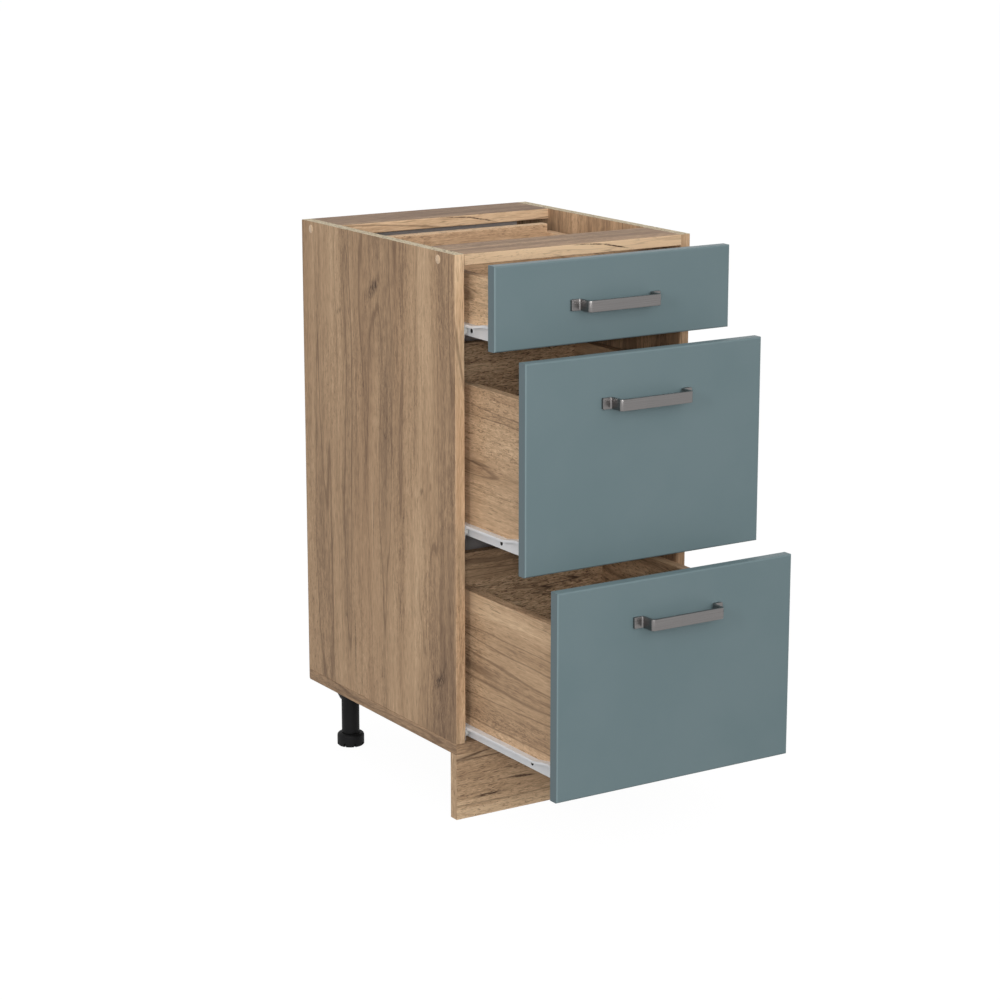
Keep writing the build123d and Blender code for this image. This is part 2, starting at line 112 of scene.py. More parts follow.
def spread(tree, value, low, high, to_low=0.0, to_high=1.0, smooth=True):
    """Stretches the part of a value between low and high over a new range."""
    settings = {"interpolation_type": "SMOOTHSTEP" if smooth else "LINEAR", "clamp": True}
    node = add(
        tree, "ShaderNodeMapRange", settings, i0=value, i1=low, i2=high, i3=to_low, i4=to_high
    )
    return node.outputs[0]


def mix_color(tree, fac, a, b, blend="MIX"):
    """Blends two colours."""
    settings = {"data_type": "RGBA", "blend_type": blend, "clamp_factor": True}
    return add(tree, "ShaderNodeMix", settings, i0=fac, i6=a, i7=b).outputs[2]


def srgb(r, g, b):
    """A colour given on a 0-255 scale, as the linear values that shaders use."""
    linear = [((v / 255 + 0.055) / 1.055) ** 2.4 if v > 10 else v / 255 / 12.92 for v in (r, g, b)]
    return (*linear, 1.0)


def new_group(name, inputs, outputs):
    """An empty node group. An input is given its default number, or None for a vector."""
    group = bpy.data.node_groups.new(name, "ShaderNodeTree")
    for socket, default in inputs.items():
        kind = "NodeSocketVector" if default is None else "NodeSocketFloat"
        made = group.interface.new_socket(socket, in_out="INPUT", socket_type=kind)
        if default is not None:
            made.default_value = default
    for socket, kind in outputs.items():
        group.interface.new_socket(socket, in_out="OUTPUT", socket_type=kind)
    return group, group.nodes.new("NodeGroupInput"), group.nodes.new("NodeGroupOutput")


def new_material(name):
    """A node material with its Principled shader wired to the output."""
    material = bpy.data.materials.new(name)
    material.use_nodes = True
    return material, material.node_tree, material.node_tree.nodes["Principled BSDF"]


def surface(tree, shader, color, rough, height, relief, shine=0.5, metallic=0.0):
    """Wires a surface into the shader. The relief is the bump's strength and distance."""
    strength, distance = relief
    bump = add(tree, "ShaderNodeBump", Height=height, Strength=strength, Distance=distance)
    wire(tree, color, shader.inputs["Base Color"])
    wire(tree, rough, shader.inputs["Roughness"])
    wire(tree, bump.outputs[0], shader.inputs["Normal"])
    shader.inputs["Specular IOR Level"].default_value = shine
    shader.inputs["Metallic"].default_value = metallic


def dress(names, material):
    """Puts one material into every slot of some CAD nodes."""
    for name in names:
        for place in nodes[name].material_slots:
            place.material = material


print("helpers ready")

# %% [markdown]
# ## The oak decor
#
# The boards are chipboard with a printed oak film. What makes the print look like oak is
# that everything is stretched along the grain: soft bands of tone several centimetres
# wide, thinner streaks, short fibres and pores, and a few thin dark cracks that follow
# the bands. All of it can be built from noise sampled on coordinates that are squeezed
# along the grain, so one group serves every board, and only the direction of the grain
# changes. An image would repeat, and isn't needed.

# %% Grain coordinates
GRAIN_AXES = {"X": ("Y", "Z"), "Y": ("X", "Z"), "Z": ("X", "Y")}
SEED_ACROSS, SEED_ALONG, SEED_LAYER = 1.37, 0.73, 2.1
BAND_SEED = 40
FACES_AXIS = 0.7


def along_grain(tree, split, grain, seed, stretch=(1.0, 1.0)):
    """Object coordinates turned so that X runs across the grain and Y along it.

    The two directions across are added up, so that the film on a board's face and the
    banding on its edges both show stripes."""
    first, second = GRAIN_AXES[grain]
    across = math_node(tree, "ADD", split.outputs[first], split.outputs[second])
    across = math_node(tree, "MULTIPLY_ADD", across, stretch[0], seed * SEED_ACROSS)
    along = math_node(tree, "MULTIPLY_ADD", split.outputs[grain], stretch[1], seed * SEED_ALONG)
    joined = add(tree, "ShaderNodeCombineXYZ", i0=across, i1=along, i2=seed * SEED_LAYER)
    return joined.outputs[0]


def grain_vector(tree, grain, banding, seed, stretch):
    """Grain coordinates of a board, and a mask of the faces that carry edge banding.

    banding is the axis that the banded faces look along and the grain on them."""
    coord = tree.nodes.new("ShaderNodeTexCoord")
    split = add(tree, "ShaderNodeSeparateXYZ", i0=coord.outputs["Object"])
    facing = add(tree, "ShaderNodeSeparateXYZ", i0=coord.outputs["Normal"])
    axis, band_grain = banding
    tilt = math_node(tree, "ABSOLUTE", facing.outputs[axis])
    on_band = math_node(tree, "GREATER_THAN", tilt, FACES_AXIS)
    on_face = along_grain(tree, split, grain, seed, stretch)
    on_edge = along_grain(tree, split, band_grain, seed + BAND_SEED)
    mix = add(tree, "ShaderNodeMix", {"data_type": "VECTOR"}, i0=on_band, i4=on_face, i5=on_edge)
    return mix.outputs[1], coord, on_band


# %% [markdown]
# ## Layers of the grain
#
# Each layer of the print is a noise with its own number of repeats per metre across and
# along the grain. The wide bands carry most of the tone, and the narrower layers are
# added to them one by one. First the whole grain is bent a little, because no tree grows
# along a ruler.

# %% Grain layers
# Repeats across, repeats along, detail, roughness, distortion and share of the tone.
LAYERS = {
    "bands": (13.0, 0.8, 2.0, 0.55, 0.0, 1.3),
    "streaks": (58.0, 2.6, 3.0, 0.6, 0.0, 0.5),
    "lines": (210.0, 9.0, 2.0, 0.6, 0.0, 0.45),
    "fibres": (560.0, 60.0, 2.0, 0.6, 0.4, 0.75),
}
# Repeats across, repeats along and sideways reach of the slow and the quicker wave.
WAVES = ((6.0, 1.6, 0.035), (24.0, 9.0, 0.006))


def grain_noise(tree, vector, across, along, detail=1.0, roughness=0.5, distortion=0.0):
    """Noise on coordinates that are squeezed along the grain."""
    squeezed = vector_node(tree, "MULTIPLY", vector, (across, along, 1.0))
    return noise(tree, squeezed, 1.0, detail, roughness, distortion)


def centred(tree, value, amount, base=0.0):
    """A noise value as a plus or minus amount on top of a base."""
    return math_node(tree, "MULTIPLY_ADD", math_node(tree, "SUBTRACT", value, 0.5), amount, base)


def bent(tree, vector):
    """Grain coordinates that wave from side to side."""
    wave = 0.0
    for across, along, reach in WAVES:
        wave = centred(tree, grain_noise(tree, vector, across, along), reach, wave)
    sideways = add(tree, "ShaderNodeCombineXYZ", i0=wave, i1=0.0, i2=0.0)
    return vector_node(tree, "ADD", vector, sideways.outputs[0])


print("layers of the grain:", ", ".join(LAYERS))

# %% Colour of the print
# From the darkest tone to the palest, on a scale from 0 to 1.
OAK_TONES = (
    (0.0, (124, 99, 79)),
    (0.28, (166, 136, 108)),
    (0.5, (197, 163, 129)),
    (0.72, (216, 182, 146)),
    (1.0, (242, 210, 172)),
)
OAK_INKS = {
    "grey": srgb(226, 218, 214),
    "vein": srgb(112, 86, 66),
    "gouge": srgb(96, 74, 56),
    "halo": srgb(140, 112, 88),
    "crack": srgb(76, 56, 42),
    "mark": srgb(84, 64, 50),
    "pore": srgb(122, 96, 74),
}


def oak_ramp(tree, tone):
    """The print's colour at a tone."""
    ramp = add(tree, "ShaderNodeValToRGB", i0=tone)
    stops = ramp.color_ramp.elements
    (_, darkest), *between, (_, palest) = OAK_TONES
    stops[0].color, stops[1].color = srgb(*darkest), srgb(*palest)
    for place, shade in between:
        stops.new(place).color = srgb(*shade)
    return ramp.outputs[0]


# %% [markdown]
# ## Dashes, cracks and veins
#
# Three kinds of dark line lie on the tone. Short wavy dashes come in patches, as where a
# saw has cut across the rays. Cracks lie on the level lines of a long thin noise, with a
# soft halo, and are kept only in some places. Thin veins run where one band of tone meets
# the next. Each is a mask, made by stretching a noise, or how far it is from a level, to
# 0 and 1. Such a line is as long and wavy as its noise, so nothing has to be drawn.

# %% Masks of the dark lines
# Repeats across, repeats along, detail, roughness and distortion, as in the layers.
DASHES = (330.0, 95.0, 2.0, 0.55, 1.4)
DASH_PATCHES = (15.0, 3.2)
CRACK_LINES = (22.0, 1.5, 2.0, 0.55)
CRACK_PLACES = (13.0, 3.0)
# The level that a vein follows, how far off it the vein ends and is full, and its share.
VEINS = {"bands": (0.46, 0.010, 0.002, 0.5), "streaks": (0.42, 0.020, 0.004, 0.24)}


def saw_dashes(tree, vector, flow, amount):
    """Dashes as noise, as plus or minus ripple, and the deepest of them as gouges."""
    dashes = grain_noise(tree, flow, *DASHES)
    reach = grain_noise(tree, vector, *DASH_PATCHES)
    reach = math_node(tree, "MULTIPLY_ADD", amount, 0.10, reach)
    patches = spread(tree, reach, 0.46, 0.66)
    ripple = times(tree, times(tree, centred(tree, dashes, 1.0), patches), amount)
    gouge = times(tree, times(tree, spread(tree, dashes, 0.42, 0.34), patches), amount)
    return dashes, ripple, gouge


def cracks(tree, vector, flow, amount):
    """The cracks and the soft halo round them."""
    crest = off(tree, grain_noise(tree, flow, *CRACK_LINES), 0.5)
    where = spread(tree, grain_noise(tree, vector, *CRACK_PLACES), 0.58, 0.66)
    allowed = times(tree, where, amount)
    crack = times(tree, spread(tree, crest, 0.010, 0.001), allowed)
    return crack, times(tree, spread(tree, crest, 0.05, 0.0, 0.0, 0.3), allowed)


def veins(tree, layer):
    """Thin lines on one level of the bands, and fainter ones on one of the streaks."""
    lines = []
    for name, (level, end, full, share) in VEINS.items():
        line = spread(tree, off(tree, layer[name], level), end, full)
        lines.append(times(tree, line, share))
    return math_node(tree, "MAXIMUM", *lines)


# %% The oak group
PORES = (480.0, 36.0)
GREYING = (10.0, 0.7, 2.0)
OAK_ROUGH = (0.62, 0.5)


def oak_group():
    """Colour, height and roughness of the oak film, from grain coordinates."""
    tree, start, end = new_group(
        "oak_decor",
        {"Vector": None, "Tone": 0.0, "Cracks": 1.0, "Ripple": 0.5, "Mark": 0.0},
        {"Color": "NodeSocketColor", "Height": "NodeSocketFloat", "Roughness": "NodeSocketFloat"},
    )
    vector = start.outputs["Vector"]
    flow = bent(tree, vector)
    dashes, ripple, gouge = saw_dashes(tree, vector, flow, start.outputs["Ripple"])
    crack, halo = cracks(tree, vector, flow, start.outputs["Cracks"])

    tone, layer = 0.5, {}
    for name, (across, along, detail, roughness, distortion, share) in LAYERS.items():
        layer[name] = grain_noise(tree, flow, across, along, detail, roughness, distortion)
        tone = centred(tree, layer[name], share, tone)
    tone = math_node(tree, "MULTIPLY_ADD", ripple, 1.1, tone)
    tone = math_node(tree, "ADD", tone, start.outputs["Tone"])

    # Marks from outside the group, such as knots, are broken up by the dashes.
    mark = times(tree, start.outputs["Mark"], spread(tree, dashes, 0.35, 0.66, 1.0, 0.3))
    pores = spread(tree, grain_noise(tree, flow, *PORES), 0.35, 0.27)
    grey = spread(tree, grain_noise(tree, flow, *GREYING), 0.42, 0.66, 0.0, 0.45)
    color = mix_color(tree, grey, oak_ramp(tree, tone), OAK_INKS["grey"], "MULTIPLY")
    for ink, mask in {
        "vein": veins(tree, layer),
        "gouge": times(tree, gouge, 0.36, clamp=True),
        "halo": halo,
        "crack": times(tree, crack, 0.85),
        "mark": mark,
        "pore": times(tree, pores, 0.5),
    }.items():
        color = mix_color(tree, mask, color, OAK_INKS[ink])

    height = times(tree, layer["lines"], 0.4)
    relief = ((layer["fibres"], 0.5), (crack, -0.8), (pores, -0.35), (ripple, 1.0), (gouge, -0.5))
    for value, share in relief:
        height = math_node(tree, "MULTIPLY_ADD", value, share, height)
    rough = spread(tree, tone, 0.0, 1.0, *OAK_ROUGH, smooth=False)
    for name, value in {"Color": color, "Height": height, "Roughness": rough}.items():
        wire(tree, value, end.inputs[name])
    return tree


OAK = oak_group()
print("oak group:", len(OAK.nodes), "nodes")

# %% [markdown]
# ## Knots and long cracks
#
# Noise alone gives no knot where one is wanted. A mark is an ellipse in the board's plane
# with a soft edge: narrow and long for a crack, short and fat for a knot, and leaning
# when the grain round it leans. A Mapping node of the Texture type moves the ellipse to
# the origin and makes it a unit ball, so its distance from the centre is the mask.

# %% Mark group
MARK_CORE = 0.15


def mark_group():
    """A soft ellipse: 1 in its middle, 0 outside."""
    tree, start, end = new_group(
        "grain_mark",
        {"Vector": None, "Place": None, "Lean": None, "Size": None, "Depth": 1.0},
        {"Mask": "NodeSocketFloat"},
    )
    ball = add(
        tree,
        "ShaderNodeMapping",
        {"vector_type": "TEXTURE"},
        Vector=start.outputs["Vector"],
        Location=start.outputs["Place"],
        Rotation=start.outputs["Lean"],
        Scale=start.outputs["Size"],
    )
    reach = add(tree, "ShaderNodeVectorMath", {"operation": "LENGTH"}, i0=ball.outputs[0])
    soft = spread(tree, reach.outputs["Value"], 1.0, MARK_CORE)
    wire(tree, times(tree, soft, start.outputs["Depth"]), end.inputs["Mask"])
    return tree


MARK = mark_group()


def marks_on(tree, coord, places):
    """The strongest of several marks: (place, lean, size, depth), in metres and degrees."""
    total = None
    for place, lean, size, depth in places:
        one = add(
            tree,
            "ShaderNodeGroup",
            {"node_tree": MARK},
            Vector=coord.outputs["Object"],
            Place=place,
            Lean=[math.radians(v) for v in lean],
            Size=size,
            Depth=depth,
        )
        mask = one.outputs["Mask"]
        total = mask if total is None else math_node(tree, "MAXIMUM", total, mask)
    return total


print("mark group:", len(MARK.nodes), "nodes")

# %% [markdown]
# ## Oak on each board
#
# The grain of a carcass side runs up and down, that of the rails, the bottom board and
# the plinth from left to right, and that of a drawer's sides from front to back. Edge
# banding always runs along its edge, so the two ends of the bottom board and of the
# plinth get a direction of their own. Each board has its own seed, so no two look alike.
# The upper edges of the carcass sides are left raw on the real thing, because the worktop
# hides them: there the pressed chips show, pale and speckled.

# %% Raw chipboard
CHIPS_PER_METRE = 560.0
CHIP_STRETCH = (1.0, 0.45, 1.0)
CHIP_TONES = srgb(196, 178, 144), srgb(230, 214, 182)
DARK_CHIP = srgb(154, 132, 102)


def raw_chipboard(tree, vector):
    """Pale pressed chips: cells about 2 mm wide and 4 mm long, each its own tone."""
    cells = add(
        tree,
        "ShaderNodeTexVoronoi",
        {"feature": "F1"},
        Vector=vector_node(tree, "MULTIPLY", vector, CHIP_STRETCH),
        Scale=CHIPS_PER_METRE,
    )
    tone = add(tree, "ShaderNodeSeparateColor", i0=cells.outputs["Color"])
    color = mix_color(tree, tone.outputs[0], *CHIP_TONES)
    return mix_color(tree, spread(tree, tone.outputs[1], 0.82, 0.93), color, DARK_CHIP)


# %% Oak material
OAK_RELIEF = (0.3, 0.0003)
OAK_SHINE = 0.22


def oak_material(
    name, grain, banding, seed, tone=0.0, band_tone=0.0, cracks=1.0, ripple=0.5,
    stretch=(1.0, 1.0), raw_above=None, marks=(),
):
    """The oak film with its grain along one axis of the object."""
    material, tree, shader = new_material(name)
    vector, coord, on_band = grain_vector(tree, grain, banding, seed, stretch)
    oak = add(
        tree,
        "ShaderNodeGroup",
        {"node_tree": OAK},
        Vector=vector,
        Tone=math_node(tree, "MULTIPLY_ADD", on_band, band_tone, tone),
        Cracks=cracks,
        Ripple=ripple,
    )
    if marks:
        wire(tree, marks_on(tree, coord, marks), oak.inputs["Mark"])
    color = oak.outputs["Color"]
    if raw_above is not None:
        split = add(tree, "ShaderNodeSeparateXYZ", i0=coord.outputs["Object"])
        raw = math_node(tree, "GREATER_THAN", split.outputs["Z"], raw_above)
        color = mix_color(tree, raw, color, raw_chipboard(tree, coord.outputs["Object"]))
    height, rough = oak.outputs["Height"], oak.outputs["Roughness"]
    surface(tree, shader, color, rough, height, OAK_RELIEF, OAK_SHINE)
    return material


# %% [markdown]
# ## Marks on the carcass
#
# The left side has two knots, a few small dark spots and some long faint cracks. The
# plinth has three cracks that lie almost level, and the front edge of each rail one dark
# arc, which is three short marks in a row. They could be painted into an image, but rows
# of numbers are easier to read and to move. A row gives a mark's place on its face, its
# lean in degrees from upright, its half width and half length, and how dark it is.

# %% Marks on the carcass
side_low, side_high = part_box("side_left")
SIDE_MARKS = [
    ((side_low.x, y, z), (lean, 0, 0), (0.05, wide, long), depth)
    for y, z, lean, wide, long, depth in (
        (0.227, 0.744, 43, 0.013, 0.030, 1.1),
        (0.043, 0.198, 48, 0.013, 0.028, 1.1),
        (0.033, 0.217, 29, 0.005, 0.022, 0.6),
        (0.040, 0.202, 34, 0.018, 0.046, 0.22),
        (0.329, 0.697, 60, 0.006, 0.014, 0.45),
        (0.196, 0.531, 10, 0.005, 0.008, 0.80),
        (0.093, 0.468, 30, 0.006, 0.009, 0.55),
        (0.145, 0.416, 5, 0.004, 0.016, 0.60),
        (0.319, 0.232, 0, 0.006, 0.010, 0.50),
        (0.084, 0.322, -8, 0.004, 0.014, 0.60),
        (0.149, 0.730, -4, 0.0035, 0.075, 0.55),
        (0.232, 0.405, 2, 0.003, 0.080, 0.55),
        (0.292, 0.190, 0, 0.003, 0.090, 0.70),
        (0.405, 0.490, 4, 0.006, 0.040, 0.60),
        (0.155, 0.270, -6, 0.003, 0.050, 0.50),
        (0.360, 0.340, 12, 0.006, 0.045, 0.40),
    )
]
PLINTH_MARKS = (
    (-0.088, 0.047, 94, 0.0026, 0.034, 1.7),
    (-0.142, 0.030, 89, 0.0026, 0.040, 1.6),
    (0.075, 0.060, 93, 0.0026, 0.040, 2.0),
)
RAIL_ARC = (
    (0.013, 0.8185, 91, 0.0009, 0.024, 1.5),
    (0.036, 0.8172, 94, 0.0012, 0.031, 1.8),
    (0.067, 0.8125, 101, 0.0015, 0.032, 1.8),
)
BACK_RAIL = (-0.008, 0.35)


def front_marks(rows, reach, right=0.0, back=0.0):
    """Marks on a face that looks to the front, moved to the right and back."""
    return [
        ((x + right, back, z), (0, lean, 0), (wide, reach, long), depth)
        for x, z, lean, wide, long, depth in rows
    ]


print("marks:", len(SIDE_MARKS) + len(PLINTH_MARKS) + 2 * len(RAIL_ARC))

# %% Dress the carcass boards
RAW_EDGE = side_high.z - 0.0001
UPRIGHT = dict(grain="Z", banding=("Y", "Z"), raw_above=RAW_EDGE)
RAIL = dict(grain="X", banding=("Y", "X"))
CARCASS_BOARDS = {
    "side_left": dict(
        UPRIGHT, seed=1, tone=-0.02, band_tone=0.33, cracks=0.3, marks=SIDE_MARKS
    ),
    "side_right": dict(UPRIGHT, seed=2, band_tone=0.12, cracks=0.5),
    "bottom_board": dict(grain="X", banding=("X", "Y"), seed=3, band_tone=-0.14),
    "top_rail_front": dict(
        RAIL, seed=4, tone=-0.38, band_tone=0.90, marks=front_marks(RAIL_ARC, 0.006)
    ),
    "top_rail_back": dict(
        RAIL, seed=5, tone=-0.33, band_tone=0.69, marks=front_marks(RAIL_ARC, 0.006, *BACK_RAIL)
    ),
    "plinth": dict(
        grain="X",
        banding=("X", "Z"),
        seed=6,
        tone=0.31,
        ripple=1.15,
        stretch=(1.4, 0.8),
        marks=front_marks(PLINTH_MARKS, 0.02),
    ),
}
for board, recipe in CARCASS_BOARDS.items():
    dress([board], oak_material(f"oak_{board}", **recipe))
print("carcass boards in oak:", len(CARCASS_BOARDS))

# %% Dress the drawer boxes
DRAWERS = ("top", "middle", "bottom")
DRAWER_BOARDS = {
    "side_left": dict(grain="Y", banding=("Z", "Y"), seed=19, ripple=0.9, cracks=0.5),
    "side_right": dict(grain="Y", banding=("Z", "Y"), seed=20, ripple=0.9, cracks=0.5),
    "back": dict(grain="X", banding=("Z", "X"), seed=14, ripple=2.1, stretch=(1.5, 0.9)),
}
# Tone per drawer, lightest on the top one: painted light that makes up for the shade of the rail
# and the carcass side on its boards.
DRAWER_PAINTED_LIGHT = {"top": 0.30, "middle": 0.09, "bottom": 0.06}
CALMER = {"top_drawer_back": 1.2}
for number, drawer in enumerate(DRAWERS):
    for part, recipe in DRAWER_BOARDS.items():
        board = f"{drawer}_drawer_{part}"
        own = dict(recipe, seed=recipe["seed"] + 3 * number, tone=DRAWER_PAINTED_LIGHT[drawer])
        own["ripple"] = CALMER.get(board, recipe["ripple"])
        dress([board], oak_material(f"oak_{board}", **own))
print("drawer boards in oak:", len(DRAWER_BOARDS) * len(DRAWERS))

# %% [markdown]
# ## The drawer fronts
#
# The fronts are MDF wrapped in a matt blue-grey film. Up close such a film isn't flat: it
# takes on a very fine orange peel from the press. A low bump from small noise gives it,
# and a little variation in roughness keeps the highlight on the rounded edges alive. A
# painted highlight lightens the film where the left and right edges curve into the front,
# and painted shade darkens the faces of those edges.

# %% Front film
FILM_TONES = srgb(109, 129, 133), srgb(113, 132, 136)
FILM_PAINTED_SHADE, FILM_PAINTED_HIGHLIGHT = srgb(99, 116, 121), srgb(128, 147, 151)
FILM_ROUGH = (0.44, 0.52)
FILM_RELIEF = (0.12, 0.0001)


def front_film():
    """Matt film, with painted shade on its side edges and a painted highlight where they curve."""
    material, tree, shader = new_material("front_film")
    coord = add(tree, "ShaderNodeTexCoord")
    peel = noise(tree, coord.outputs["Object"], 1400.0, 2.0, 0.5)
    cloud = noise(tree, coord.outputs["Object"], 9.0, 3.0, 0.5)
    color = mix_color(tree, spread(tree, cloud, 0.3, 0.7), *FILM_TONES)
    facing = add(tree, "ShaderNodeSeparateXYZ", i0=coord.outputs["Normal"])
    sideways = math_node(tree, "ABSOLUTE", facing.outputs["X"])
    # Painted shade on the faces of the left and right edges, and a painted highlight on the curve
    # between them and the front.
    edge = spread(tree, sideways, 0.80, 0.95)
    painted_rim_highlight = math_node(tree, "SUBTRACT", spread(tree, sideways, 0.20, 0.45), edge, clamp=True)
    color = mix_color(tree, edge, color, FILM_PAINTED_SHADE)
    color = mix_color(tree, times(tree, painted_rim_highlight, 0.8), color, FILM_PAINTED_HIGHLIGHT)
    rough = spread(tree, peel, 0.3, 0.7, *FILM_ROUGH)
    surface(tree, shader, color, rough, peel, FILM_RELIEF, shine=0.4)
    return material


dress([f"{drawer}_drawer_front" for drawer in DRAWERS], front_film())
print("fronts dressed:", len(DRAWERS))

# %% [markdown]
# ## Metal and plastic
#
# The handles are satin-brushed, so their noise is drawn out along the strap. The runners
# are steel under white epoxy, with the faint texture of powder coat. Screws and brackets
# are zinc plated, which shows as a slightly uneven grey. Legs and feet are black moulded
# plastic with a fine erosion texture, and the rollers are plain nylon.

# %% Handle metal
BRUSHED_TONES = srgb(106, 104, 103), srgb(139, 136, 135)
BRUSHED = (14.0, 14.0, 2600.0)
BRUSHED_RELIEF = (0.15, 0.00005)


def handle_metal():
    """Satin steel with fine scratches along the strap."""
    material, tree, shader = new_material("handle_metal")
    coord = add(tree, "ShaderNodeTexCoord")
    drawn_out = vector_node(tree, "MULTIPLY", coord.outputs["Object"], BRUSHED)
    hair = noise(tree, drawn_out, 1.0, 2.0, 0.6)
    color = mix_color(tree, hair, *BRUSHED_TONES)
    rough = spread(tree, hair, 0.25, 0.75, 0.26, 0.36)
    surface(tree, shader, color, rough, hair, BRUSHED_RELIEF, metallic=1.0)
    return material


HANDLE = handle_metal()
print("handle metal:", len(HANDLE.node_tree.nodes), "nodes")


# %% Painted, plated and moulded finishes
def plain_finish(name, dark, pale, grain, rough, metallic=0.0, bump=0.1, shine=0.5):
    """A finish that differs a little from place to place, at the scale of its texture."""
    material, tree, shader = new_material(name)
    coord = add(tree, "ShaderNodeTexCoord")
    fine = noise(tree, coord.outputs["Object"], grain, 3.0, 0.6)
    broad = noise(tree, coord.outputs["Object"], grain / 30, 2.0, 0.5)
    color = mix_color(tree, spread(tree, broad, 0.3, 0.7), srgb(*dark), srgb(*pale))
    rough = spread(tree, fine, 0.2, 0.8, *rough)
    surface(tree, shader, color, rough, fine, (bump, 0.00005), shine, metallic)
    return material


EPOXY = plain_finish("runner_epoxy", (234, 235, 237), (241, 241, 242), 900.0, (0.36, 0.48))
ZINC = plain_finish("zinc_plate", (176, 178, 182), (196, 197, 198), 700.0, (0.28, 0.45), 1.0)
NYLON = plain_finish("nylon", (226, 225, 218), (234, 233, 228), 500.0, (0.35, 0.45))
BLACK = plain_finish(
    "leg_plastic", (22, 22, 23), (27, 27, 28), 1800.0, (0.5, 0.66), bump=0.35, shine=0.14
)
CAP = plain_finish("cap_plastic", (226, 192, 154), (232, 199, 162), 400.0, (0.24, 0.32))
# The screws in the webs are black as painted shade: their heads stand in for the dark holes they
# cover.
HOLE_SHADE_BLACK = plain_finish(
    "hole_shade_black_steel", (30, 30, 32), (38, 38, 40), 700.0, (0.5, 0.62), bump=0.2, shine=0.15
)
print("materials so far:", len(bpy.data.materials))

# %% [markdown]
# ## Hardboard
#
# The back and the drawer bottoms are 3 mm hardboard. The side that faces inwards is
# lacquered pale grey, and the other is left brown, with the fine felted look of pressed
# fibres. The way a face looks, inwards or outwards, tells which of the two it gets.

# %% Hardboard
FIBRE_TONES = srgb(124, 92, 64), srgb(158, 122, 88)
FLAKE = srgb(178, 144, 108)
LACQUER_TONES = srgb(222, 216, 214), srgb(230, 224, 222)
FELT_RELIEF = (0.2, 0.0001)


def hardboard(name, outward):
    """Pale lacquer on the inner face, raw brown fibre on the outer face and the edges."""
    material, tree, shader = new_material(name)
    coord = add(tree, "ShaderNodeTexCoord")
    felt = noise(tree, coord.outputs["Object"], 900.0, 4.0, 0.7)
    flakes = noise(tree, coord.outputs["Object"], 130.0, 3.0, 0.6)
    raw = mix_color(tree, spread(tree, felt, 0.3, 0.7), *FIBRE_TONES)
    raw = mix_color(tree, spread(tree, flakes, 0.58, 0.70, 0.0, 0.5), raw, FLAKE)
    lacquer = mix_color(tree, spread(tree, flakes, 0.3, 0.7), *LACQUER_TONES)
    settings = {"operation": "DOT_PRODUCT"}
    facing = add(tree, "ShaderNodeVectorMath", settings, i0=coord.outputs["Normal"], i1=outward)
    inside = math_node(tree, "LESS_THAN", facing.outputs["Value"], -0.5)
    rough = spread(tree, felt, 0.2, 0.8, 0.45, 0.7)
    surface(tree, shader, mix_color(tree, inside, raw, lacquer), rough, felt, FELT_RELIEF)
    return material


# %% Dress the rest of the nodes
SIDES = ("left", "right")
dress(["back_panel"], hardboard("hardboard_back", (0, 1, 0)))
dress([f"{drawer}_drawer_bottom" for drawer in DRAWERS], hardboard("hardboard_bottom", (0, 0, -1)))
for drawer in DRAWERS:
    for side in SIDES:
        dress([f"{drawer}_cabinet_runner_{side}", f"{drawer}_drawer_runner_{side}"], EPOXY)
    dress([f"{drawer}_front_rollers", f"{drawer}_rear_rollers"], NYLON)
    dress([f"{drawer}_handle"], HANDLE)
    dress([f"{drawer}_drawer_fittings", f"{drawer}_handle_screws"], ZINC)
dress(["carcass_screws", "cabinet_runner_screws", "plinth_brackets"], ZINC)
for side in SIDES:
    dress([f"leg_plate_{side}", f"leg_tube_{side}", f"foot_{side}"], BLACK)
dress(["cover_caps"], CAP)
print("nodes dressed:", sum(1 for node in nodes.values() if node.material_slots))

# %% [markdown]
# ## A piece from a bmesh
#
# Every new piece is made the same way: build it in a bmesh with its place in its
# vertices, make it smooth except along sharp edges, give it its finish, and let it ride
# on the CAD body that carries it.

# %% Piece helper
WELD = 1e-6


def piece(name, bm, material, body, smooth_below=35.0):
    """Turns a finished bmesh into an object that rides on a body."""
    bmesh.ops.remove_doubles(bm, verts=bm.verts, dist=WELD)
    bmesh.ops.recalc_face_normals(bm, faces=bm.faces)
    mesh = bpy.data.meshes.new(name)
    bm.to_mesh(mesh)
    bm.free()
    mesh.shade_smooth()
    mesh.set_sharp_from_angle(angle=math.radians(smooth_below))
    mesh.materials.append(material)
    made = bpy.data.objects.new(name, mesh)
    bpy.context.scene.collection.objects.link(made)
    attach(made, body)
    print(name, "faces", len(mesh.polygons))
    return made


# %% [markdown]
# ## Bow handles
#
# A bow handle is one flat strap with four bends. That is how it is modelled: a small
# rectangle is pulled out to the bend, spun through a quarter turn, pulled along the leg,
# spun back, and pulled out to the end of the foot. The bend next to the foot is wider
# than the one at the bar. The other half is a mirror copy. The corners of the feet are
# rounded, and a fine bevel on the edges catches the light, which a sharp box never does.

# %% Handle sizes
STRAP = 0.0045
FOOT_REACH = 0.0135
BEND = 0.001
FOOT_BEND = 0.0026
BEND_STEPS = 10
FOOT_CORNER, CORNER_STEPS = 0.0016, 5
EDGE_BEVEL, BEVEL_STEPS = 0.0006, 3
SHARP = math.radians(60)


def pull(bm, face, offset):
    """Extrudes a face along an offset and returns the new end face."""
    made = bmesh.ops.extrude_face_region(bm, geom=[face])["geom"]
    ends = [g for g in made if isinstance(g, bmesh.types.BMVert)]
    bmesh.ops.translate(bm, vec=offset, verts=ends)
    return [g for g in made if isinstance(g, bmesh.types.BMFace)][0]


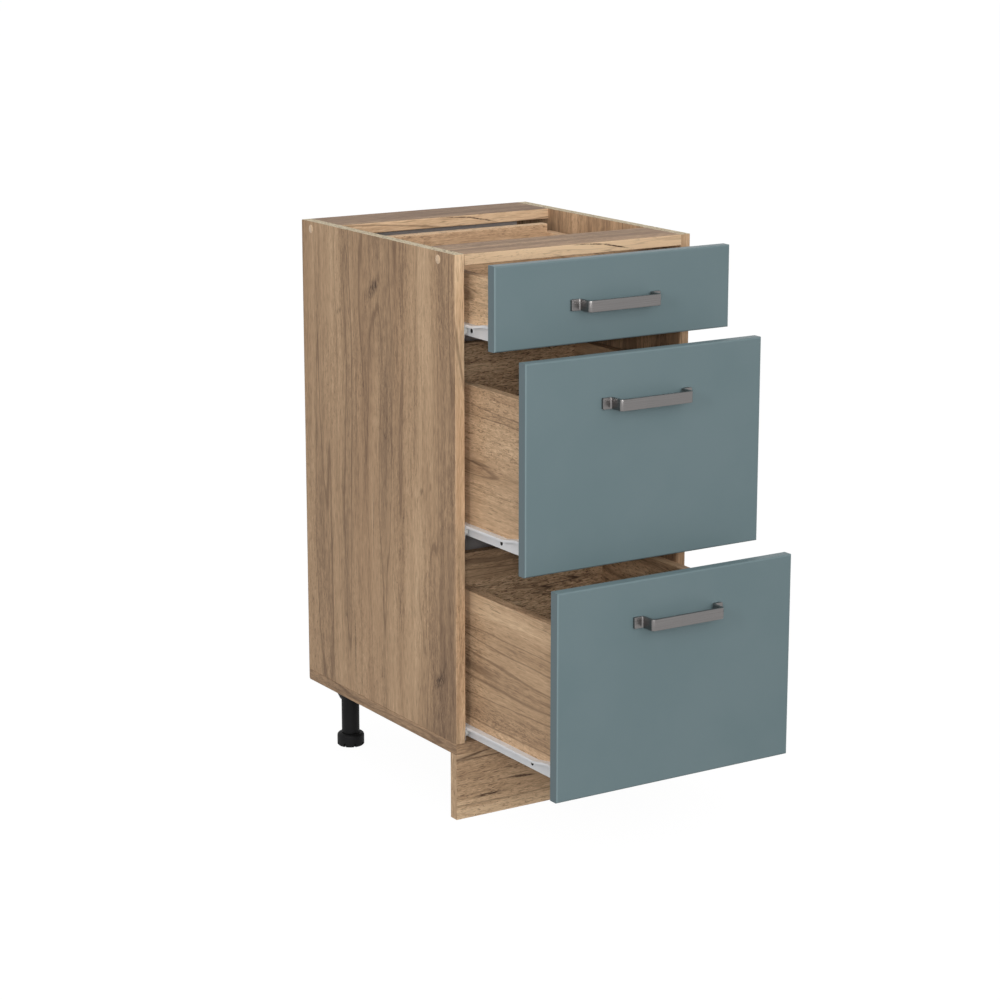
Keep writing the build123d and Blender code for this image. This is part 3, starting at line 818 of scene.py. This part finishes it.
def bend(bm, face, centre, angle):
    """Spins a face through an angle about an upright axis and returns the end face."""
    arc = dict(angle=angle, steps=BEND_STEPS)
    made = bmesh.ops.spin(bm, geom=[face], cent=centre, axis=(0, 0, 1), **arc)
    return [g for g in made["geom_last"] if isinstance(g, bmesh.types.BMFace)][0]


def round_edges(bm, edges, radius, steps):
    """Rounds edges to a radius."""
    look = dict(segments=steps, affect="EDGES", profile=0.5, material=-1)
    bmesh.ops.bevel(bm, geom=edges, offset=radius, **look)


# %% Bow handle
def strap_half(bm, low, high):
    """The right half of the strap, from the middle of the bar to the end of its foot."""
    back, front = high.y, low.y
    bar_half = high.x - FOOT_REACH
    outer, foot_outer = BEND + STRAP, FOOT_BEND + STRAP
    section = ((front, low.z), (front + STRAP, low.z), (front + STRAP, high.z), (front, high.z))
    face = bm.faces.new([bm.verts.new((0.0, y, z)) for y, z in section])
    face = pull(bm, face, (bar_half - outer, 0, 0))
    face = bend(bm, face, (bar_half - outer, front + outer, 0), math.pi / 2)
    face = pull(bm, face, (0, back - front - outer - foot_outer, 0))
    face = bend(bm, face, (bar_half + FOOT_BEND, back - foot_outer, 0), -math.pi / 2)
    pull(bm, face, (high.x - bar_half - FOOT_BEND, 0, 0))


def bow_handle(drawer):
    """The strap, mirrored, with rounded foot corners and a fine bevel on its edges."""
    low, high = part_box(f"{drawer}_handle")
    bm = bmesh.new()
    strap_half(bm, low, high)
    # Each pull and bend leaves its first face inside the strap, and the mirror joins the
    # halves at X = 0, so these faces come out.
    buried = [
        f for f in bm.faces
        if all(len(e.link_faces) > 2 for e in f.edges) or f.calc_center_median().x < WELD
    ]
    bmesh.ops.delete(bm, geom=buried, context="FACES_ONLY")
    half = bm.verts[:] + bm.edges[:] + bm.faces[:]
    bmesh.ops.mirror(bm, geom=half, matrix=Matrix(), merge_dist=WELD, axis="X")
    bmesh.ops.remove_doubles(bm, verts=bm.verts, dist=WELD)
    bmesh.ops.recalc_face_normals(bm, faces=bm.faces)
    corners = [
        e for e in bm.edges
        if all(abs(abs(v.co.x) - high.x) < WELD for v in e.verts)
        and abs(e.verts[0].co.z - e.verts[1].co.z) < WELD
    ]
    round_edges(bm, corners, FOOT_CORNER, CORNER_STEPS)
    rims = [e for e in bm.edges if len(e.link_faces) == 2 and e.calc_face_angle() > SHARP]
    round_edges(bm, rims, EDGE_BEVEL, BEVEL_STEPS)
    made = piece(f"{drawer}_bow_handle", bm, HANDLE, f"{drawer}_drawer", 20.0)
    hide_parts(f"{drawer}_handle")


for drawer in DRAWERS:
    bow_handle(drawer)

# %% [markdown]
# ## Cover caps
#
# Each screw that joins a side to a rail hides under a push-in cap. A cap is turned: the
# dome, its thin rim on the board and the plug below are one profile, spun once round.
# The row of points is short, because a shape 13 mm wide needs no more. It is drawn
# upright round Z, which is simplest, and then set down where it belongs.

# %% Turned shapes


def chain(bm, points):
    """Vertices at some points and the edges from each to the next."""
    verts = [bm.verts.new(point) for point in points]
    return verts + [bm.edges.new(pair) for pair in zip(verts, verts[1:])]


def turn(bm, profile, steps):
    """Spins a chain of (radius, height) points once round Z."""
    line = chain(bm, [(r, 0.0, h) for r, h in profile])
    once = dict(angle=2 * math.pi, steps=steps, use_merge=True)
    bmesh.ops.spin(bm, geom=line, cent=(0, 0, 0), axis=(0, 0, 1), **once)


def set_down(bm, before, point, direction):
    """Moves all but the vertices before to a point, with Z turned to a direction."""
    fresh = [v for v in bm.verts if v not in before]
    spin = Vector((0, 0, 1)).rotation_difference(Vector(direction)).to_matrix().to_4x4()
    bmesh.ops.transform(bm, matrix=Matrix.Translation(point) @ spin, verts=fresh)


# %% Cover caps
CAP_RADIUS = 0.0065
CAP_STEPS = 32
CAP_DOME = [
    (0.0, 0.00100),
    (0.0022, 0.00096),
    (0.0041, 0.00080),
    (0.0055, 0.00052),
    (0.0062, 0.00026),
    (CAP_RADIUS, 0.0),
]
CAP_PLUG = [(0.0018, 0.0), (0.0018, -0.0024), (0.0, -0.0024)]
caps_low, caps_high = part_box("cover_caps")
bm = bmesh.new()
for x, out in ((side_low.x, -1), (-side_low.x, 1)):
    for y in (caps_low.y + CAP_RADIUS, caps_high.y - CAP_RADIUS):
        before = set(bm.verts)
        turn(bm, CAP_DOME + CAP_PLUG, CAP_STEPS)
        set_down(bm, before, (x, y, (caps_low.z + caps_high.z) / 2), (out, 0, 0))
caps = piece("domed_caps", bm, CAP, "carcass")
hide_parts("cover_caps")

# %% [markdown]
# ## Screw feet
#
# A foot screws up into its leg, which sets the height of the cabinet. Its disc is made in
# two parts: the lower rim with its finger notches is an outline pulled up, and the
# rounded shoulder above is turned. The thread is one short zigzag that is spun while it
# climbs, so that every turn ends where the next one starts.

# %% Foot sizes
FOOT_HIGH = 0.020
FOOT_TOE = 0.0015
SHOULDER = 0.0048
SHOULDER_STEPS, FOOT_STEPS = 6, 48
NOTCHES = 8
NOTCH_TURN = math.radians(33.9)
NOTCH_WIDE, NOTCH_DEEP, NOTCH_HIGH = 0.003, 0.0035, 0.006
RIM_STEPS = 6
STEM_CREST, STEM_ROOT, STEM_SUNK = 0.00895, 0.00790, 0.002
THREAD_TURNS, THREAD_STEPS, THREAD_WELD = 13, 24, 2e-6
# One turn of the thread: how far out of the root, and how far up, as shares of 1.
THREAD_SHAPE = ((0.0, 0.0), (0.0, 0.2), (1.0, 0.45), (1.0, 0.65), (0.0, 0.9), (0.0, 1.0))


def foot_outline(radius):
    """The points of a rim with notches, once round."""
    points = []
    half = NOTCH_WIDE / 2 / radius
    gap = 2 * math.pi / NOTCHES - 2 * half
    inner = radius - NOTCH_DEEP
    for k in range(NOTCHES):
        middle = NOTCH_TURN + 2 * math.pi * k / NOTCHES
        start, stop = middle - half, middle + half
        points += [(radius, start), (inner, start), (inner, stop), (radius, stop)]
        points += [(radius, stop + gap * step / RIM_STEPS) for step in range(1, RIM_STEPS)]
    return [(r * math.cos(angle), r * math.sin(angle)) for r, angle in points]


# %% Foot disc
def foot_disc(bm, radius):
    """The notched rim with its narrowed toe, and the turned shoulder above."""
    rim = bm.faces.new([bm.verts.new((x, y, FOOT_TOE)) for x, y in foot_outline(radius)])
    pull(bm, rim, (0, 0, NOTCH_HIGH - FOOT_TOE))
    toe = pull(bm, rim, (0, 0, -FOOT_TOE))
    shrink = 1 - FOOT_TOE / radius
    bmesh.ops.scale(bm, vec=(shrink, shrink, 1), verts=toe.verts)
    bmesh.ops.delete(bm, geom=[rim], context="FACES_ONLY")
    edge, deck = radius - SHOULDER, FOOT_HIGH - SHOULDER
    quarter = [math.pi / 2 * k / SHOULDER_STEPS for k in range(SHOULDER_STEPS + 1)]
    rounded = [(edge + SHOULDER * math.cos(a), deck + SHOULDER * math.sin(a)) for a in quarter]
    turn(bm, [(0, NOTCH_HIGH), (radius, NOTCH_HIGH)] + rounded + [(0, FOOT_HIGH)], FOOT_STEPS)


# %% Screw foot
def screw_foot(side):
    """The disc with its threaded stem, in the place of the CAD foot."""
    low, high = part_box(f"foot_{side}")
    bm = bmesh.new()
    foot_disc(bm, (high.x - low.x) / 2)
    start = FOOT_HIGH - STEM_SUNK
    pitch = (high.z - low.z - start) / THREAD_TURNS
    deep = STEM_CREST - STEM_ROOT
    line = chain(bm, [(STEM_ROOT + deep * r, 0, start + pitch * z) for r, z in THREAD_SHAPE])
    bmesh.ops.spin(
        bm,
        geom=line,
        cent=(0, 0, 0),
        axis=(0, 0, 1),
        dvec=(0, 0, pitch / THREAD_STEPS),
        angle=2 * math.pi * (THREAD_TURNS - 1),
        steps=THREAD_STEPS * (THREAD_TURNS - 1),
    )
    bmesh.ops.remove_doubles(bm, verts=bm.verts, dist=THREAD_WELD)
    bmesh.ops.holes_fill(bm, edges=[e for e in bm.edges if e.is_boundary], sides=0)
    place = ((low.x + high.x) / 2, (low.y + high.y) / 2, low.z)
    bmesh.ops.translate(bm, vec=place, verts=bm.verts)
    made = piece(f"screw_foot_{side}", bm, BLACK, f"foot_{side}")
    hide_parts(f"foot_{side}")


for side in SIDES:
    screw_foot(side)

# %% [markdown]
# ## Cross-recess screws
#
# Runners, leg plates and brackets are held by short screws. What shows is the head with a
# cross recess. The head is a disc, pulled up and inset twice into a low dome. Its flat
# top is then sliced by planes on both sides of each arm of the cross, and the faces of
# the cross are sunk. That leaves clean walls, which a boolean cut this small might not.

# %% Screw head
# Sizes of a head, as shares of its radius or of its height.
HEAD_STEPS = 24
HEAD_RIM = 0.45
HEAD_INSETS = ((0.12, 0.33), (0.16, 0.22))
CROSS_LONG, CROSS_WIDE, CROSS_DEEP = 0.62, 0.14, 0.7
TOP_FROM = 0.9
# How upright the normal of a level face is, and how near to a slice a corner joins it.
LEVEL = 0.999
SLICE_SNAP = 1e-7


def screw_head(bm, point, direction, radius, height):
    """A low domed head on the surface at a point, standing up along a direction."""
    before = set(bm.verts)
    arm, half = radius * CROSS_LONG, radius * CROSS_WIDE

    def top():
        """The level faces on top of this head."""
        own = [f for f in bm.faces if not set(f.verts) & before and abs(f.normal.z) > LEVEL]
        return [f for f in own if f.calc_center_median().z > height * TOP_FROM]

    disc = bmesh.ops.create_circle(bm, cap_ends=True, segments=HEAD_STEPS, radius=radius)["verts"]
    rim = pull(bm, disc[0].link_faces[0], (0, 0, height * HEAD_RIM))
    for wide, high in HEAD_INSETS:
        size = dict(thickness=radius * wide, depth=height * high)
        bmesh.ops.inset_region(bm, faces=[rim], **size)
    for normal in ((1, 0, 0), (0, 1, 0)):
        for offset in (-half, half, -arm, arm):
            parts = {g: None for f in top() for g in (f, *f.edges, *f.verts)}
            cut = dict(plane_co=Vector(normal) * offset, plane_no=normal, dist=SLICE_SNAP)
            bmesh.ops.bisect_plane(bm, geom=list(parts), **cut)
    cross = []
    for face in top():
        x, y, _ = (abs(v) for v in face.calc_center_median())
        if (x < half and y < arm) or (y < half and x < arm):
            cross.append(face)
    sunk = bmesh.ops.extrude_face_region(bm, geom=cross)["geom"]
    bmesh.ops.delete(bm, geom=[f for f in cross if f.is_valid], context="FACES_ONLY")
    down = [g for g in sunk if isinstance(g, bmesh.types.BMVert)]
    bmesh.ops.translate(bm, vec=(0, 0, -height * CROSS_DEEP), verts=down)
    set_down(bm, before, point, direction)


# %% Screws on the carcass
BIG_HEAD = (0.0042, 0.0016)
PLATE_THICK, PLATE_HOLE = 0.004, 0.024
BRACKET_STEEL, BRACKET_HALF, BRACKET_HOLE, BRACKET_INSET = 0.002, 0.020, 0.011, 0.010
leg_low, leg_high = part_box("leg_plate_left")
plate_x, plate_y = (leg_low.x + leg_high.x) / 2, (leg_low.y + leg_high.y) / 2
bracket_low, bracket_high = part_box("plinth_brackets")
bm = bmesh.new()
for side in (-1, 1):
    for dx in (-PLATE_HOLE, PLATE_HOLE):
        for dy in (-PLATE_HOLE, PLATE_HOLE):
            place = (side * abs(plate_x) + dx, plate_y + dy, leg_high.z - PLATE_THICK)
            screw_head(bm, place, (0, 0, -1), *BIG_HEAD)
for side in (-1, 1):
    middle = side * (abs(bracket_low.x) - BRACKET_HALF)
    for x in (middle - BRACKET_HOLE, middle + BRACKET_HOLE):
        up = (x, bracket_high.y - BRACKET_INSET, bracket_high.z - BRACKET_STEEL)
        screw_head(bm, up, (0, 0, -1), *BIG_HEAD)
        along = (x, bracket_low.y + BRACKET_STEEL, bracket_low.z + BRACKET_INSET)
        screw_head(bm, along, (0, 1, 0), *BIG_HEAD)
piece("carcass_fixing_screws", bm, ZINC, "carcass", 30.0)

# %% [markdown]
# ## Nails and runner screws
#
# The back is nailed to the edges of the boards, one nail about every 9 cm, with heads
# that lie almost flush. The drawer members of the runners are screwed up into the drawer
# sides, and one small screw goes sideways through each web. Its head is black as painted
# shade, standing in for the dark hole in the web that it covers.

# %% Nails in the back panel
NAIL_PITCH, NAIL_INSET = 0.088, 0.008
NAIL_RADIUS, NAIL_STEPS = 0.0016, 12
NAIL_HEAD, NAIL_SUNK = 0.00011, 0.0001
back_low, back_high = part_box("back_panel")


def nail_row(low, high):
    """Evenly spaced places between the insets from both ends."""
    long = high - low - 2 * NAIL_INSET
    count = round(long / NAIL_PITCH)
    return [low + NAIL_INSET + long * k / count for k in range(count + 1)]


xs, zs = nail_row(back_low.x, back_high.x), nail_row(back_low.z, back_high.z)
spots = [(x, z) for z in zs for x in (xs[0], xs[-1])]
spots += [(x, z) for x in xs[1:-1] for z in (zs[0], zs[-1])]
bm = bmesh.new()
for x, z in spots:
    before = set(bm.verts)
    size = dict(segments=NAIL_STEPS, radius=NAIL_RADIUS)
    disc = bmesh.ops.create_circle(bm, cap_ends=True, **size)["verts"]
    pull(bm, disc[0].link_faces[0], (0, 0, NAIL_HEAD))
    set_down(bm, before, (x, back_high.y - NAIL_SUNK, z), (0, 1, 0))
piece("back_panel_nails", bm, ZINC, "carcass")
print("nails:", len(spots))

# %% Screws in the webs of the drawer members, black as painted shade of their holes
WEB_STEEL = 0.001
WEB_HOLE_BACK, WEB_HOLE_UP = 0.083, 0.0083
WEB_HEAD = (0.0036, 0.0006)
for drawer in DRAWERS:
    bm = bmesh.new()
    member_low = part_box(f"{drawer}_drawer_runner_left")[0]
    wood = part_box(f"{drawer}_drawer_side_left")[0].x
    for side in (-1, 1):
        x = side * (abs(wood) + WEB_STEEL)
        place = (x, member_low.y + WEB_HOLE_BACK, member_low.z + WEB_HOLE_UP)
        screw_head(bm, place, (side, 0, 0), *WEB_HEAD)
    piece(f"{drawer}_web_screws", bm, HOLE_SHADE_BLACK, f"{drawer}_drawer", 30.0)

# %% Screws that hold the runners to the drawer boxes
RUNNER_SHARES = (0.16, 0.5, 0.84)
RUNNER_INSET = 0.006
RUNNER_HEAD = (0.0036, 0.0009)
for drawer in DRAWERS:
    bm = bmesh.new()
    low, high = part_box(f"{drawer}_drawer_runner_left")
    for side in (-1, 1):
        for share in RUNNER_SHARES:
            y = low.y + share * (high.y - low.y)
            place = (side * (abs(high.x) + RUNNER_INSET), y, low.z)
            screw_head(bm, place, (0, 0, -1), *RUNNER_HEAD)
    piece(f"{drawer}_runner_screws", bm, ZINC, f"{drawer}_drawer", 30.0)

# %% [markdown]
# ## Floor, light and camera
#
# A pale floor that goes white to the camera still takes the shadow, so the cabinet stands
# on something. The sky gives an even base. A tall soft panel and a small strong one stand
# near the camera, so their light reaches into the open drawers. A wide panel in front
# lifts the fronts, and a narrow one low on the left draws a line of light on the bends of
# the handles and on the left side. Together they reach a level at which a colour on a
# front renders about as it is written.

# %% Floor
FLOOR_SHADE = 0.42
FLOOR_GREY, FLOOR_GLOW = 0.18, 1.665
FLOOR_SIZE = 60.0


def seen_directly(tree):
    """1 where the camera or a reflection looks straight at a surface, 0 for other light."""
    paths = tree.nodes.new("ShaderNodeLightPath")
    rays = paths.outputs["Is Camera Ray"], paths.outputs["Is Glossy Ray"]
    return math_node(tree, "MAXIMUM", *rays)


def floor_material():
    """White to the camera and in reflections, with the shadow kept in its diffuse share."""
    material, tree, shader = new_material("studio_floor")
    shader.inputs["Base Color"].default_value = (FLOOR_GREY, FLOOR_GREY, FLOOR_GREY, 1.0)
    shader.inputs["Roughness"].default_value = 0.9
    shader.inputs["Specular IOR Level"].default_value = 0.0
    glow = add(tree, "ShaderNodeEmission", Color=(1, 1, 1, 1), Strength=FLOOR_GLOW)
    fac = times(tree, seen_directly(tree), 1.0 - FLOOR_SHADE)
    mixed = add(tree, "ShaderNodeMixShader", i0=fac, i1=shader.outputs[0], i2=glow.outputs[0])
    wire(tree, mixed.outputs[0], tree.nodes["Material Output"].inputs["Surface"])
    return material


floor_mesh = bpy.data.meshes.new("studio_floor")
bm = bmesh.new()
bmesh.ops.create_grid(bm, x_segments=1, y_segments=1, size=FLOOR_SIZE / 2)
bm.to_mesh(floor_mesh)
bm.free()
floor = bpy.data.objects.new("studio_floor", floor_mesh)
bpy.context.scene.collection.objects.link(floor)
floor_mesh.materials.append(floor_material())
print("floor:", FLOOR_SIZE, "m wide")

# %% World
SKY_STRENGTH = 0.55
world = bpy.data.worlds.new("studio")
bpy.context.scene.world = world
world.use_nodes = True
sky = world.node_tree
sky_light = sky.nodes["Background"]
sky_light.inputs["Color"].default_value = (1.0, 1.0, 1.0, 1.0)
strength = math_node(sky, "MULTIPLY_ADD", seen_directly(sky), 1.0 - SKY_STRENGTH, SKY_STRENGTH)
wire(sky, strength, sky_light.inputs["Strength"])
print("sky strength:", SKY_STRENGTH)

# %% Lamps
# Place, size in metres and power in watts.
LAMPS = {
    "camera_panel": ((-1.7, -3.2, 1.4), (0.9, 1.1), 22.0),
    "fill_panel": ((-2.2, -3.25, 1.4), (0.2, 0.2), 24.0),
    "front_panel": ((0.0, -3.6, 2.2), (1.8, 1.8), 20.0),
    "left_panel": ((-2.8, -1.6, 1.6), (0.3, 0.9), 15.0),
}
LAMP_TARGET = Vector((0.0, 0.0, 0.5))
for name, (place, size, power) in LAMPS.items():
    lamp = bpy.data.lights.new(name, "AREA")
    lamp.shape = "RECTANGLE"
    lamp.size, lamp.size_y = size
    lamp.energy = power
    holder = bpy.data.objects.new(name, lamp)
    bpy.context.scene.collection.objects.link(holder)
    holder.location = place
    aim = LAMP_TARGET - Vector(place)
    holder.rotation_euler = aim.to_track_quat("-Z", "Y").to_euler()
print("lamps:", len(LAMPS))

# %% Camera
LENS_MM, SENSOR_MM = 97.373, 36.0
CAMERA_PLACE = (-2.1185, -3.1478, 1.3549)
CAMERA_YAW = math.radians(32.331)
CAMERA_PITCH = math.radians(13.434)
camera_data = bpy.data.cameras.new("photo_camera")
camera_data.lens = LENS_MM
camera_data.sensor_width = SENSOR_MM
camera = bpy.data.objects.new("photo_camera", camera_data)
bpy.context.scene.collection.objects.link(camera)
camera.location = CAMERA_PLACE
camera.rotation_euler = (math.radians(90) - CAMERA_PITCH, 0.0, -CAMERA_YAW)
bpy.context.scene.camera = camera
bpy.context.scene.view_settings.view_transform = "Standard"
print("camera at", CAMERA_PLACE, "lens", LENS_MM)
